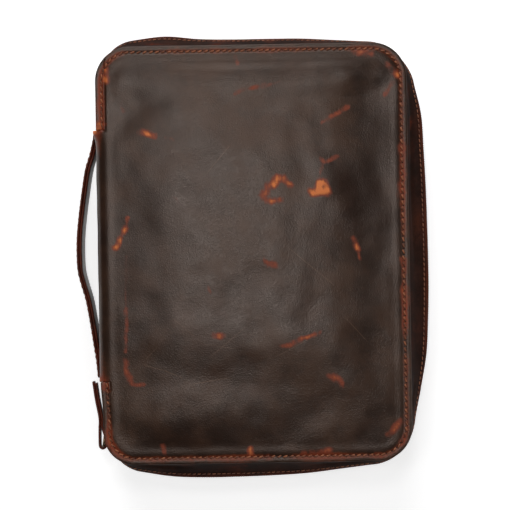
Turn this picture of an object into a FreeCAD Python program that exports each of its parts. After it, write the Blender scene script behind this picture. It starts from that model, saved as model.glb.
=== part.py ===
import FreeCAD, Part

import math
import os

from FreeCAD import Vector

# A zip-round leather book case with a carrying strap on its spine, lying on its back with a
# bound scripture volume inside. Millimetres. The origin is the middle of the back panel's outer
# face. +X runs from the spine to the fore edge, +Y from the tail to the head, and +Z through the
# thickness, from the back panel to the front panel. The front half mirrors the back half about
# the zip's middle plane.

# ---- driving dimensions --------------------------------------------------------------------
PANEL_W = 198.0  # spine to fore edge
PANEL_H = 266.0  # tail to head
DEPTH = 48.0  # outside of the back leather to outside of the front leather
CORNER_R = 22.0
LEATHER = 2.2  # panel leather
GUSSET_LEATHER = 1.4
LINING = 0.8
SPINE_HALF = 80.0  # half the length of the spine strip, between the two gusset ends
FOLD_R = 6.0  # outside radius of the fold between a panel and the spine
FLANGE = 9.0  # how far the gusset's sewn edge reaches in under the panel
END_GAP = 0.3  # room between pieces that part as the case opens

SEAM_INSET = 1.0  # where the gusset wall leaves the panel
LIP_Z = 18.5  # height of the gusset leather's zip-side edge
TAPE_END_Z = 21.0
TAPE = 0.8
TAPE_LAP = 4.0  # how far the tape is sewn in behind the gusset leather
TEETH_W = 2.4
TEETH_TOP = 23.3
RETURN_FLARE = -4.0  # the gusset leans in at its ends beside the spine, behind the panel's edge

BOOK_LEFT = -89.2
BOOK_RIGHT = 81.5
BOOK_HALF_H = 122.0
BOARD = 1.6
BOOK_BACK_Z = 3.8  # underside of the back board
BOOK_FRONT_Z = 43.6  # top of the front board
PAGE_INSET = 3.5

STRAP_W = 22.0
STRAP_LAYER = 1.8
STRAP_BOW = 15.4  # spine face to the middle of the strap at its furthest
STRAP_END = 66.6  # half the length of the strap's free stretch
STRAP_APEX = 14.0  # half the length of the rounded stretch in the middle

SLIDER_Y = -105.5  # middle of the zip slider
SLIDER_LEN = 10.0
SLIDER_W = 9.2
RING_BAR_Y = -123.4  # the ring's lower bar, which the pull strap is folded round
PULL_W = 8.0
PULL_LAYER = 1.6
PULL_TOP = -80.6

HALF_W = PANEL_W / 2
HALF_H = PANEL_H / 2
MID_Z = DEPTH / 2
OUT = "parts"


# ---- helpers -------------------------------------------------------------------------------
def box(x0, x1, y0, y1, z0, z1):
    return Part.makeBox(x1 - x0, y1 - y0, z1 - z0, Vector(x0, y0, z0))


def prism(points, direction):
    """A flat closed outline of straight edges, pushed along a direction."""
    return Part.Face(Part.makePolygon(points + points[:1])).extrude(direction)


def rounded_plate(x0, x1, y0, y1, radius, z0, z1):
    """A plate with its four upright edges rounded."""
    plate = box(x0, x1, y0, y1, z0, z1)
    upright = [e for e in plate.Edges if abs(e.tangentAt(e.FirstParameter).z) > 0.9]
    return plate.makeFillet(radius, upright)


def panel_plate(inset, z0, z1):
    """A plate of the panel's outline, drawn in all round by inset."""
    x, y = HALF_W - inset, HALF_H - inset
    return rounded_plate(-x, x, -y, y, CORNER_R - inset, z0, z1)


def ring_sector(centre_x, centre_z, inner, outer, start_deg, end_deg, half_length):
    """Part of a tube whose axis lies along Y, between two angles measured from +X towards +Z."""
    def at(radius, degrees):
        a = math.radians(degrees)
        return Vector(centre_x + radius * math.cos(a), -half_length, centre_z + radius * math.sin(a))

    middle = (start_deg + end_deg) / 2
    edges = [
        Part.Arc(at(outer, start_deg), at(outer, middle), at(outer, end_deg)).toShape(),
        Part.LineSegment(at(outer, end_deg), at(inner, end_deg)).toShape(),
        Part.Arc(at(inner, end_deg), at(inner, middle), at(inner, start_deg)).toShape(),
        Part.LineSegment(at(inner, start_deg), at(outer, start_deg)).toShape(),
    ]
    return Part.Face(Part.Wire(edges)).extrude(Vector(0, 2 * half_length, 0))


def mirrored(shape):
    """The front half's twin of a back half piece."""
    return shape.mirror(Vector(0, 0, MID_Z), Vector(0, 0, 1))


def save(name, *solids):
    shape = solids[0] if len(solids) == 1 else Part.makeCompound(list(solids))
    shape.exportStep(os.path.join(OUT, name + ".step"))
    print(f"{name:22s} {len(shape.Solids)} solid(s) {shape.Volume / 1000:9.3f} cm3 valid {shape.isValid()}")


# ---- outer leather: two panels and the spine strip, folded between them ----------------------
FOLD_X = -HALF_W + FOLD_R
FOLD_GAP_DEG = 2.0
HINGE_OUT = 0.3  # the fold turns about a line just outside its own outer surface
HINGE_X = FOLD_X - (FOLD_R + HINGE_OUT) * math.cos(math.radians(45))
HINGE_Z = FOLD_R - (FOLD_R + HINGE_OUT) * math.sin(math.radians(45))


def back_panel():
    """The back leather, with its half of the rolled fold beside the spine strip."""
    reach = SPINE_HALF + END_GAP
    plate = panel_plate(0, 0, LEATHER)
    notch = box(-HALF_W - 1, FOLD_X, -reach, reach, -1, LEATHER + 1)
    fold = ring_sector(FOLD_X, FOLD_R, FOLD_R - LEATHER, FOLD_R, 225 + FOLD_GAP_DEG, 270, SPINE_HALF)
    return plate.cut(notch).fuse(fold).removeSplitter()


def spine_panel():
    """The spine strip, with the other half of both folds along its long edges."""
    strip = box(-HALF_W, -HALF_W + LEATHER, -SPINE_HALF, SPINE_HALF, FOLD_R, DEPTH - FOLD_R)
    low = ring_sector(FOLD_X, FOLD_R, FOLD_R - LEATHER, FOLD_R, 180, 225 - FOLD_GAP_DEG, SPINE_HALF)
    return strip.fuse([low, mirrored(low)]).removeSplitter()


# ---- gusset, tape and teeth: lofts along the case's edge, from the spine round and back -------
# Each stretch lists how far the zip-side edge of the gusset stands out from the panel's edge, at
# evenly spaced places along it. The case bulges most at the middle of the fore edge. A corner is
# cut finer than its list, so that it comes out round.
CORNER_CUTS = 2
CORNER_X = HALF_W - CORNER_R
CORNER_Y = HALF_H - CORNER_R
RETURN_Y = SPINE_HALF + END_GAP
STRETCHES = [
    ("line", (-HALF_W, RETURN_Y), (-HALF_W, CORNER_Y), [RETURN_FLARE, RETURN_FLARE, RETURN_FLARE]),
    ("arc", (-CORNER_X, CORNER_Y), (180, 90), [RETURN_FLARE, -1.0, 3.5, 6.5]),
    ("line", (-CORNER_X, HALF_H), (CORNER_X, HALF_H), [6.5, 8.8, 6.8, 6.2, 6.2, 6.0, 4.7, 3.4]),
    ("arc", (CORNER_X, CORNER_Y), (90, 0), [3.4, 2.6, 3.0, 6.3]),
    ("line", (HALF_W, CORNER_Y), (HALF_W, -CORNER_Y),
     [6.3, 11.0, 12.2, 13.1, 13.6, 13.9, 13.9, 13.2, 11.8, 7.9, 3.6]),
    ("arc", (CORNER_X, -CORNER_Y), (0, -90), [3.6, 2.6, 3.2, 4.8]),
    ("line", (CORNER_X, -HALF_H), (-CORNER_X, -HALF_H), [4.8, 7.2, 9.7, 10.8, 11.3, 11.4, 10.4, 6.8]),
    ("arc", (-CORNER_X, -CORNER_Y), (-90, -180), [6.8, 2.8, -0.8, RETURN_FLARE]),
    ("line", (-HALF_W, -CORNER_Y), (-HALF_W, -RETURN_Y), [RETURN_FLARE, RETURN_FLARE, RETURN_FLARE]),
]


def stations():
    """(x, y, outward x, outward y, flare) round the case's edge, clockwise from the spine."""
    found = []
    for kind, start, end, flares in STRETCHES:
        cuts = CORNER_CUTS if kind == "arc" else 1
        steps = cuts * (len(flares) - 1)
        for i in range(1 if found else 0, steps + 1):
            share = i / steps
            low, part = divmod(i, cuts)
            flare = flares[low] if part == 0 else (flares[low] + flares[low + 1]) / 2
            if kind == "line":
                x = start[0] + (end[0] - start[0]) * share
                y = start[1] + (end[1] - start[1]) * share
                run = math.hypot(end[0] - start[0], end[1] - start[1])
                out_x, out_y = -(end[1] - start[1]) / run, (end[0] - start[0]) / run
            else:
                turn = math.radians(end[0] + (end[1] - end[0]) * share)
                out_x, out_y = math.cos(turn), math.sin(turn)
                x, y = start[0] + CORNER_R * out_x, start[1] + CORNER_R * out_y
            found.append((x, y, out_x, out_y, flare))
    return found


def towards(a, b):
    run = math.hypot(b[0] - a[0], b[1] - a[1])
    return (b[0] - a[0]) / run, (b[1] - a[1]) / run


def moved(point, along, distance):
    return point[0] + along[0] * distance, point[1] + along[1] * distance


def wall(flare):
    """The gusset wall's outer face, as (outward from the panel's edge, height) points."""
    return (-SEAM_INSET, LEATHER), (-SEAM_INSET + 0.32 * (flare + SEAM_INSET), 10.0), (flare, LIP_Z)


def gusset_outline(flare):
    seam, knee, lip = wall(flare)
    low, high = towards(seam, knee), towards(knee, lip)
    low_in, high_in = (-low[1], low[0]), (-high[1], high[0])
    spread = 1 + low_in[0] * high_in[0] + low_in[1] * high_in[1]
    both = ((low_in[0] + high_in[0]) / spread, (low_in[1] + high_in[1]) / spread)
    top = LEATHER + GUSSET_LEATHER
    seam_in = (seam[0] - GUSSET_LEATHER / low[1] + (top - LEATHER) * low[0] / low[1], top)
    return [(-FLANGE, LEATHER), seam, knee, lip, moved(lip, high_in, GUSSET_LEATHER),
            moved(knee, both, GUSSET_LEATHER), seam_in, (-FLANGE, top)]


def tape_lines(flare):
    """The tape's middle where it leaves the gusset, its direction there, and its inward side."""
    seam, knee, lip = wall(flare)
    along = towards(knee, lip)
    inwards = (-along[1], along[0])
    return moved(lip, inwards, GUSSET_LEATHER + 0.1 + TAPE / 2), along, inwards


def zip_centre(flare):
    """How far the zip's own centre line stands out from the panel's edge."""
    middle, along, inwards = tape_lines(flare)
    return middle[0] + 0.5 * along[0] / along[1] * (TAPE_END_Z - middle[1])


def tape_outline(flare):
    middle, along, inwards = tape_lines(flare)
    tucked = moved(middle, along, -TAPE_LAP)
    centre = zip_centre(flare)
    half = TAPE / 2
    return [moved(tucked, inwards, -half), moved(middle, inwards, -half), (centre + half, TAPE_END_Z),
            (centre - half, TAPE_END_Z), moved(middle, inwards, half), moved(tucked, inwards, half)]


def teeth_outline(flare):
    middle, half = zip_centre(flare), TEETH_W / 2
    return [(middle - half, TAPE_END_Z), (middle + half, TAPE_END_Z),
            (middle + half, TEETH_TOP), (middle - half, TEETH_TOP)]


def edge_loft(outline, trim=0.0):
    """One section outline carried round the case's edge; trim shortens both ends beside the spine."""
    places = stations()
    if trim:
        for end, step in ((0, 1), (-1, -1)):
            x, y, out_x, out_y, flare = places[end]
            places[end] = (x, y + step * trim, out_x, out_y, flare)
    wires = []
    for x, y, out_x, out_y, flare in places:
        points = [Vector(x + out_x * u, y + out_y * u, z) for u, z in outline(flare)]
        wires.append(Part.makePolygon(points + points[:1]))
    return Part.makeLoft(wires, True, True)


STOP_LEN = 2.8
RETURN_ZIP_X = -HALF_W - zip_centre(RETURN_FLARE)


def zip_stops():
    """The two small crimped stops that end the back tape's row of teeth."""
    half = TEETH_W / 2 + 0.3
    start = RETURN_Y + 0.5
    return [
        box(RETURN_ZIP_X - half, RETURN_ZIP_X + half, min(s * start, s * (start + STOP_LEN)),
            max(s * start, s * (start + STOP_LEN)), TAPE_END_Z, TEETH_TOP + 0.1)
        for s in (1, -1)
    ]


# ---- inside: linings, board pockets and the bound book ---------------------------------------
LINING_INSET = FLANGE + 0.8
POCKET_INSET = 6.0
POCKET_RIM = 3.5
POCKET_LEFT = 15.0
POCKET_GAP = 0.2  # room between a board and the pocket flap over it
FLAP = 1.0


def back_lining():
    return panel_plate(LINING_INSET, LEATHER, LEATHER + LINING)


def spine_lining():
    x = -HALF_W + LEATHER
    return box(x, x + LINING, -SPINE_HALF + 1, SPINE_HALF - 1, FOLD_R + 1, DEPTH - FOLD_R - 1)


def back_pocket():
    """A leather flap sewn down on three sides, which the book's board slides under."""
    rim_z = LEATHER + GUSSET_LEATHER
    flap_z = BOOK_BACK_Z + BOARD + POCKET_GAP
    flap = panel_plate(POCKET_INSET, flap_z, flap_z + FLAP)
    rim = panel_plate(POCKET_INSET, rim_z, flap_z).cut(panel_plate(POCKET_INSET + POCKET_RIM, rim_z - 1, flap_z + 1))
    open_side = box(-HALF_W, POCKET_LEFT, -HALF_H, HALF_H, 0, DEPTH)
    return flap.fuse(rim).cut(open_side).removeSplitter()


def front_pocket():
    """The same pocket in the front half. It is empty, so it lies flatter than the back one."""
    rim_z = DEPTH - LEATHER - GUSSET_LEATHER
    flap = panel_plate(POCKET_INSET, rim_z - FLAP / 2, rim_z)
    return flap.cut(box(-HALF_W, POCKET_LEFT, -HALF_H, HALF_H, 0, DEPTH))


PAGES_BACK_Z = BOOK_BACK_Z + BOARD + POCKET_GAP + FLAP + 0.3
PAGES_FRONT_Z = BOOK_FRONT_Z - BOARD - 0.4
BOOK_HINGE_Z = BOOK_FRONT_Z - BOARD / 2
BOOK_HINGE_X = BOOK_LEFT + BOARD / 2
PAGES_LEFT = BOOK_LEFT + BOARD + 0.4
PAGES_RIGHT = BOOK_RIGHT - PAGE_INSET
PAGES_HALF_H = BOOK_HALF_H - PAGE_INSET


def board(z0, left):
    plate = box(left, BOOK_RIGHT, -BOOK_HALF_H, BOOK_HALF_H, z0, z0 + BOARD)
    fore = [e for e in plate.Edges
            if abs(e.tangentAt(e.FirstParameter).z) > 0.9 and e.CenterOfMass.x > 0]
    return plate.makeFillet(7.0, fore)


def book_spine():
    """The book's own spine, standing between its two boards."""
    return box(BOOK_LEFT, BOOK_LEFT + BOARD, -BOOK_HALF_H, BOOK_HALF_H,
               BOOK_BACK_Z, BOOK_FRONT_Z - BOARD - 0.6)


def page_block():
    """The sewn pages, with the fore edge's corners rounded as thin-paper volumes have them."""
    block = box(PAGES_LEFT, PAGES_RIGHT, -PAGES_HALF_H, PAGES_HALF_H, PAGES_BACK_Z, PAGES_FRONT_Z)
    fore = [e for e in block.Edges
            if abs(e.tangentAt(e.FirstParameter).z) > 0.9 and e.CenterOfMass.x > 0]
    return block.makeFillet(5.0, fore).cut(ribbon_slot())


RIBBON_W = 6.0
RIBBON_T = 0.3
RIBBON_Z = PAGES_FRONT_Z - 12.0
RIBBON_TAIL = 4.5  # how far the ribbon hangs out past the pages


def ribbon_slot():
    return box(-22 - 0.2, -22 + RIBBON_W + 0.2, -PAGES_HALF_H - 1, PAGES_HALF_H + 1,
               RIBBON_Z - 0.05, RIBBON_Z + RIBBON_T + 0.05)


def ribbon_marker():
    return box(-22, -22 + RIBBON_W, -PAGES_HALF_H - RIBBON_TAIL, PAGES_HALF_H, RIBBON_Z, RIBBON_Z + RIBBON_T)


def end_band(side):
    """A worked band over one end of the book's back, head or tail."""
    y0 = side * (PAGES_HALF_H + 0.05)
    band = Part.makeCylinder(1.0, PAGES_FRONT_Z - PAGES_BACK_Z - 4,
                             Vector(PAGES_LEFT + 1.2, y0 + side * 1.0, PAGES_BACK_Z + 2))
    return band


ENDPAPER = 0.25


def endpaper():
    """The paper pasted inside the front board."""
    return box(BOOK_LEFT + 4, BOOK_RIGHT - 4, -BOOK_HALF_H + 4, BOOK_HALF_H - 4,
               BOOK_FRONT_Z - BOARD - ENDPAPER, BOOK_FRONT_Z - BOARD)


# ---- carrying strap on the spine -------------------------------------------------------------
SPINE_FACE = -HALF_W
STRAP_AXIS_X = SPINE_FACE - 3.0
STRAP_ROOT = 2.6 + STRAP_LAYER  # spine face to the strap's middle where its free stretch begins
TAB_LEN = 13.0
TAPER = 15.0  # length over which the free stretch narrows towards its sewn end
ROOT_W = 8.0


def bow(offset):
    """Half-length points of the strap's line, offset from its middle: the root and the apex's side."""
    return (SPINE_FACE - STRAP_ROOT - offset, STRAP_END), (SPINE_FACE - STRAP_BOW + 1.6 - offset, STRAP_APEX)


def strap_layer(inner, outer):
    """One leather layer of the strap: two straight legs joined by a rounded middle."""
    def wire_side(offset):
        root, side = bow(offset)
        z = MID_Z - STRAP_W / 2
        apex = Vector(SPINE_FACE - STRAP_BOW - offset, 0, z)
        return [Vector(root[0], root[1], z), Vector(side[0], side[1], z), apex,
                Vector(side[0], -side[1], z), Vector(root[0], -root[1], z)]

    near, far = wire_side(inner), wire_side(outer)
    edges = [
        Part.LineSegment(near[0], near[1]).toShape(),
        Part.Arc(near[1], near[2], near[3]).toShape(),
        Part.LineSegment(near[3], near[4]).toShape(),
        Part.LineSegment(near[4], far[4]).toShape(),
        Part.LineSegment(far[4], far[3]).toShape(),
        Part.Arc(far[3], far[2], far[1]).toShape(),
        Part.LineSegment(far[1], far[0]).toShape(),
        Part.LineSegment(far[0], near[0]).toShape(),
    ]
    layer = Part.Face(Part.Wire(edges)).extrude(Vector(0, 0, STRAP_W))
    wide, narrow, full = STRAP_W / 2, ROOT_W / 2, STRAP_END - TAPER
    outline = [(full, wide), (STRAP_END + 1, narrow), (STRAP_END + 1, -narrow), (full, -wide),
               (-full, -wide), (-STRAP_END - 1, -narrow), (-STRAP_END - 1, narrow), (-full, wide)]
    window = prism([Vector(SPINE_FACE - 40, y, MID_Z + z) for y, z in outline], Vector(40, 0, 0))
    return layer.common(window)


def strap_tab(side):
    """A sewn end of the strap, flat on the spine, with its nose narrowed to meet the free stretch."""
    wide, narrow = STRAP_W / 2, ROOT_W / 2
    outer, inner = STRAP_END + 0.4 + TAB_LEN, STRAP_END + 0.4
    outline = [(inner, narrow), (inner + 3, wide), (outer, wide),
               (outer, -wide), (inner + 3, -wide), (inner, -narrow)]
    return prism([Vector(SPINE_FACE - 3.2, side * y, MID_Z + z) for y, z in outline], Vector(3.2, 0, 0))


# ---- zip slider, ring and leather pull --------------------------------------------------------
OUTER_GAP = 2.9  # zip plane to the slider's outer plate
INNER_GAP = 1.6
PLATE = 1.2
POST = 0.9
RING_WIRE = 0.6  # radius of the ring's wire
BRIDGE_ROOM = 1.8
BRIDGE_WALL = 0.6
PLATE_FACE = RETURN_ZIP_X - OUTER_GAP - PLATE
BRIDGE_FACE = PLATE_FACE - BRIDGE_ROOM - BRIDGE_WALL
BRIDGE_LOW = SLIDER_Y - SLIDER_LEN / 2 + 0.4
BRIDGE_HIGH = BRIDGE_LOW + 4.6
RING_X = PLATE_FACE - BRIDGE_ROOM / 2
RING_Y = BRIDGE_LOW + 2.0
RING_BAR_X = RING_X - 2.0
RING_HALF_W = PULL_W / 2 + RING_WIRE + 0.5
EYE = RING_WIRE + 0.25  # radius of the hollow that the folded strap leaves round the ring's bar
PULL_LEAN = 4.6  # the free end stands this much further out than where it passes the bridge
SLIT = 0.1  # between the pull's two layers


def slider_body():
    """Outer and inner plates, joined by the thin post that parts the two rows of teeth."""
    half, nose = SLIDER_W / 2, SLIDER_W / 2 - 1.6
    low, high = SLIDER_Y - SLIDER_LEN / 2, SLIDER_Y + SLIDER_LEN / 2
    outline = [(low, -nose), (low + 3, -half), (high - 2, -half), (high, -nose),
               (high, nose), (high - 2, half), (low + 3, half), (low, nose)]

    def plate(x0):
        return prism([Vector(x0, y, MID_Z + z) for y, z in outline], Vector(PLATE, 0, 0))

    inner_x = RETURN_ZIP_X + INNER_GAP
    post = box(PLATE_FACE, inner_x + PLATE, high - 3.5, high - 0.5, MID_Z - POST / 2, MID_Z + POST / 2)
    return plate(PLATE_FACE).fuse([plate(inner_x), post]).removeSplitter()


def slider_bridge():
    """The arch on the slider that holds the ring."""
    arch = box(BRIDGE_FACE, PLATE_FACE, BRIDGE_LOW, BRIDGE_HIGH, MID_Z - 1.3, MID_Z + 1.3)
    hole = box(BRIDGE_FACE + BRIDGE_WALL, PLATE_FACE + 1, BRIDGE_LOW + 0.8, BRIDGE_HIGH - 0.8, 0, DEPTH)
    return arch.cut(hole)


def pull_ring():
    """A long wire ring through the bridge, hanging towards the tail with its corners rounded."""
    corner = 1.6
    points = [Vector(RING_X, RING_Y, MID_Z + RING_HALF_W), Vector(RING_BAR_X, RING_BAR_Y, MID_Z + RING_HALF_W),
              Vector(RING_BAR_X, RING_BAR_Y, MID_Z - RING_HALF_W), Vector(RING_X, RING_Y, MID_Z - RING_HALF_W)]
    bends = []
    for i, here in enumerate(points):
        start = here + (points[i - 1] - here).normalize() * corner
        end = here + (points[(i + 1) % 4] - here).normalize() * corner
        middle = (start + end) * 0.5
        bends.append((start, middle + (here - middle) * (math.sqrt(2) - 1), end))
    path = []
    for i, (start, bulge, end) in enumerate(bends):
        path.append(Part.Arc(start, bulge, end).toShape())
        path.append(Part.LineSegment(end, bends[(i + 1) % 4][0]).toShape())
    first = bends[0][0]
    heading = path[0].tangentAt(path[0].FirstParameter)
    section = Part.Wire(Part.Circle(first, heading, RING_WIRE).toShape())
    return Part.Wire(path).makePipeShell([section], True, False, 1)


def pull_strap():
    """A leather strip folded round the ring's bar, its two layers running up outside the bridge."""
    z = MID_Z - PULL_W / 2
    pass_x = BRIDGE_FACE - 0.3  # where the inner layer goes by the bridge
    pass_y = BRIDGE_LOW - 1.0
    top_x = pass_x - PULL_LEAN
    thick = 2 * PULL_LAYER + SLIT

    def outline(radius, near, far, top):
        """A teardrop round the bar, with its two sides meeting the layers' faces near and far."""
        x, y = RING_BAR_X, RING_BAR_Y
        edges = [Part.Arc(Vector(x - radius, y, z), Vector(x, y - radius, z), Vector(x + radius, y, z)).toShape()]
        corners = [(x + radius, y), (pass_x - near, pass_y), (top_x - near, top),
                   (top_x - far, top), (pass_x - far, pass_y), (x - radius, y)]
        for a, b in zip(corners, corners[1:]):
            edges.append(Part.LineSegment(Vector(a[0], a[1], z), Vector(b[0], b[1], z)).toShape())
        return Part.Face(Part.Wire(edges)).extrude(Vector(0, 0, PULL_W))

    strip = outline(EYE + PULL_LAYER, 0, thick, PULL_TOP)
    return strip.cut(outline(EYE, PULL_LAYER, PULL_LAYER + SLIT, PULL_TOP + 1))


# ---- every piece, one file each ---------------------------------------------------------------
os.makedirs(OUT, exist_ok=True)

panel = back_panel()
gusset = edge_loft(gusset_outline)
tape = edge_loft(tape_outline)
teeth = edge_loft(teeth_outline, trim=STOP_LEN + 1.0)
stops = zip_stops()
lining = back_lining()

save("back_panel", panel)
save("back_gusset", gusset)
save("back_zip_tape", tape)
save("back_zip_teeth", teeth)
save("back_zip_stops", *stops)
save("back_lining", lining)
save("back_pocket", back_pocket())

save("front_panel", mirrored(panel))
save("front_gusset", mirrored(gusset))
save("front_zip_tape", mirrored(tape))
save("front_zip_teeth", mirrored(teeth))
save("front_zip_stops", *[mirrored(s) for s in stops])
save("front_lining", mirrored(lining))
save("front_pocket", front_pocket())

save("spine_panel", spine_panel())
save("spine_lining", spine_lining())
save("strap_upper_tab", strap_tab(1))
save("strap_lower_tab", strap_tab(-1))
save("strap_outer_layer", strap_layer(0.05, STRAP_LAYER))
save("strap_inner_layer", strap_layer(-STRAP_LAYER, 0.0))

save("bible_back_board", board(BOOK_BACK_Z, BOOK_LEFT + BOARD + 0.2))
save("bible_spine", book_spine())
save("bible_pages", page_block())
save("bible_head_band", end_band(1))
save("bible_tail_band", end_band(-1))
save("bible_ribbon", ribbon_marker())
save("bible_front_board", board(BOOK_FRONT_Z - BOARD, BOOK_LEFT))
save("bible_front_endpaper", endpaper())

save("zip_slider_body", slider_body())
save("zip_slider_bridge", slider_bridge())
save("zip_pull_ring", pull_ring())
save("zip_pull_strap", pull_strap())

print(f"folds: x {HINGE_X:.3f}, z {HINGE_Z:.3f} and {DEPTH - HINGE_Z:.3f}")
print(f"book's front board: x {BOOK_HINGE_X:.3f}, z {BOOK_HINGE_Z:.3f}")
print(f"carrying strap: x {STRAP_AXIS_X:.3f}, z {MID_Z:.3f}")
print(f"ring in its bridge: x {RING_X:.3f}, y {RING_Y:.3f}")
print(f"pull on its ring: x {RING_BAR_X:.3f}, y {RING_BAR_Y:.3f}")
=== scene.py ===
import math
import random

import bmesh
import bpy
from mathutils import Matrix, Vector, noise


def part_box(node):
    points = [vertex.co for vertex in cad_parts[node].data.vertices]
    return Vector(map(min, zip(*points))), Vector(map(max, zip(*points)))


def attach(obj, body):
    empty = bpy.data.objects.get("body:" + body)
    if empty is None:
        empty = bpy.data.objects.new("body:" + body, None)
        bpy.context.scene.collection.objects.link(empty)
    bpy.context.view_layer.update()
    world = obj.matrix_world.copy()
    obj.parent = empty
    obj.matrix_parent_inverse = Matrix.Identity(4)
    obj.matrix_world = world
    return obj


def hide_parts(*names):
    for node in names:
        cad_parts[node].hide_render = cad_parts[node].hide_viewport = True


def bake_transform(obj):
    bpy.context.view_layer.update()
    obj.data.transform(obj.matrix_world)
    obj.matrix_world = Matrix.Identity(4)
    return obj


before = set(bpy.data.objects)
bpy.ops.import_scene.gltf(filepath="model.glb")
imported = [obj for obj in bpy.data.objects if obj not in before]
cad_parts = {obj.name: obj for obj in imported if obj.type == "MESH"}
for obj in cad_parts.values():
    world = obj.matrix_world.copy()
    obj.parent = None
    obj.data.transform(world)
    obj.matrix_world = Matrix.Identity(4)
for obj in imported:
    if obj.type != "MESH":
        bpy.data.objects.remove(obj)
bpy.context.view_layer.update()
MM = 0.001

# ---- Cutting the case leather ----------------------------------------------------------------
# The case is cut from one waxed cowhide, 2.2 mm thick: a back panel, a spine strip and a front
# panel in a single length, folded twice. The gusset's thinner leather is sewn on inside its edge,
# so the cutting line of the panels is what every seam of the case follows.
half_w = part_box("front_panel")[1][0]
half_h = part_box("front_panel")[1][1]
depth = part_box("front_panel")[1][2]
mid_z = depth / 2
spine_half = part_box("spine_panel")[1][1]
corner_r = 22 * MM
fold_r = 6 * MM
hide_thickness = 2.2 * MM
corner_x, corner_y = half_w - corner_r, half_h - corner_r


def smooth(share):
    share = min(max(share, 0.0), 1.0)
    return share * share * (3 - 2 * share)


def hump(distance, reach):
    return math.exp(-(distance / reach) ** 2)


def cutting_line(step):
    """Places along the panel's edge from the spine's head end clockwise to its tail end.

    Each is (x, y, outward x, outward y, distance so far)."""
    places = []

    def straight(x0, y0, x1, y1):
        run = math.hypot(x1 - x0, y1 - y0)
        count = max(2, 2 * round(run / step / 2))
        for i in range(count):
            share = i / count
            places.append((x0 + (x1 - x0) * share, y0 + (y1 - y0) * share, -(y1 - y0) / run, (x1 - x0) / run))

    def corner(x, y, first_deg):
        count = max(4, round(corner_r * math.pi / 2 / step))
        for i in range(count):
            turn = math.radians(first_deg - 90 * i / count)
            out_x, out_y = math.cos(turn), math.sin(turn)
            places.append((x + corner_r * out_x, y + corner_r * out_y, out_x, out_y))

    straight(-half_w, spine_half, -half_w, corner_y)
    corner(-corner_x, corner_y, 180)
    straight(-corner_x, half_h, corner_x, half_h)
    corner(corner_x, corner_y, 90)
    straight(half_w, corner_y, half_w, -corner_y)
    corner(corner_x, -corner_y, 0)
    straight(corner_x, -half_h, -corner_x, -half_h)
    corner(-corner_x, -corner_y, -90)
    straight(-half_w, -corner_y, -half_w, -spine_half)
    places.append((-half_w, -spine_half, -1.0, 0.0))
    run, walked = 0.0, []
    for i, (x, y, out_x, out_y) in enumerate(places):
        if i:
            run += math.hypot(x - places[i - 1][0], y - places[i - 1][1])
        walked.append((x, y, out_x, out_y, run))
    return walked


# ---- The hide's finish -----------------------------------------------------------------------
# Pull-up leather: a dark dye under a coat of wax and oil. Where it is bent, rubbed or scratched
# the wax moves aside and the red-orange of the undyed hide shows through. Its cut edges are
# burnished red-brown. The same finish, with other tones, does for the gusset and the straps.


class Level:
    """One value in a shader, so that masks can be written as arithmetic."""

    def __init__(self, finish, socket):
        self.finish, self.socket = finish, socket

    def maths(self, operation, first, second):
        return self.finish.node("ShaderNodeMath", {"operation": operation}, {0: first, 1: second})

    def __add__(self, other):
        return self.maths("ADD", self, other)

    def __sub__(self, other):
        return self.maths("SUBTRACT", self, other)

    def __mul__(self, other):
        return self.maths("MULTIPLY", self, other)

    __radd__ = __add__

    def larger(self, other):
        return self.maths("MAXIMUM", self, other)

    def step(self, low, high):
        """0 below low, 1 above high and smooth between them."""
        return self.finish.node("ShaderNodeMapRange", {"interpolation_type": "SMOOTHSTEP"},
                                {0: self, 1: low, 2: high})


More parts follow.
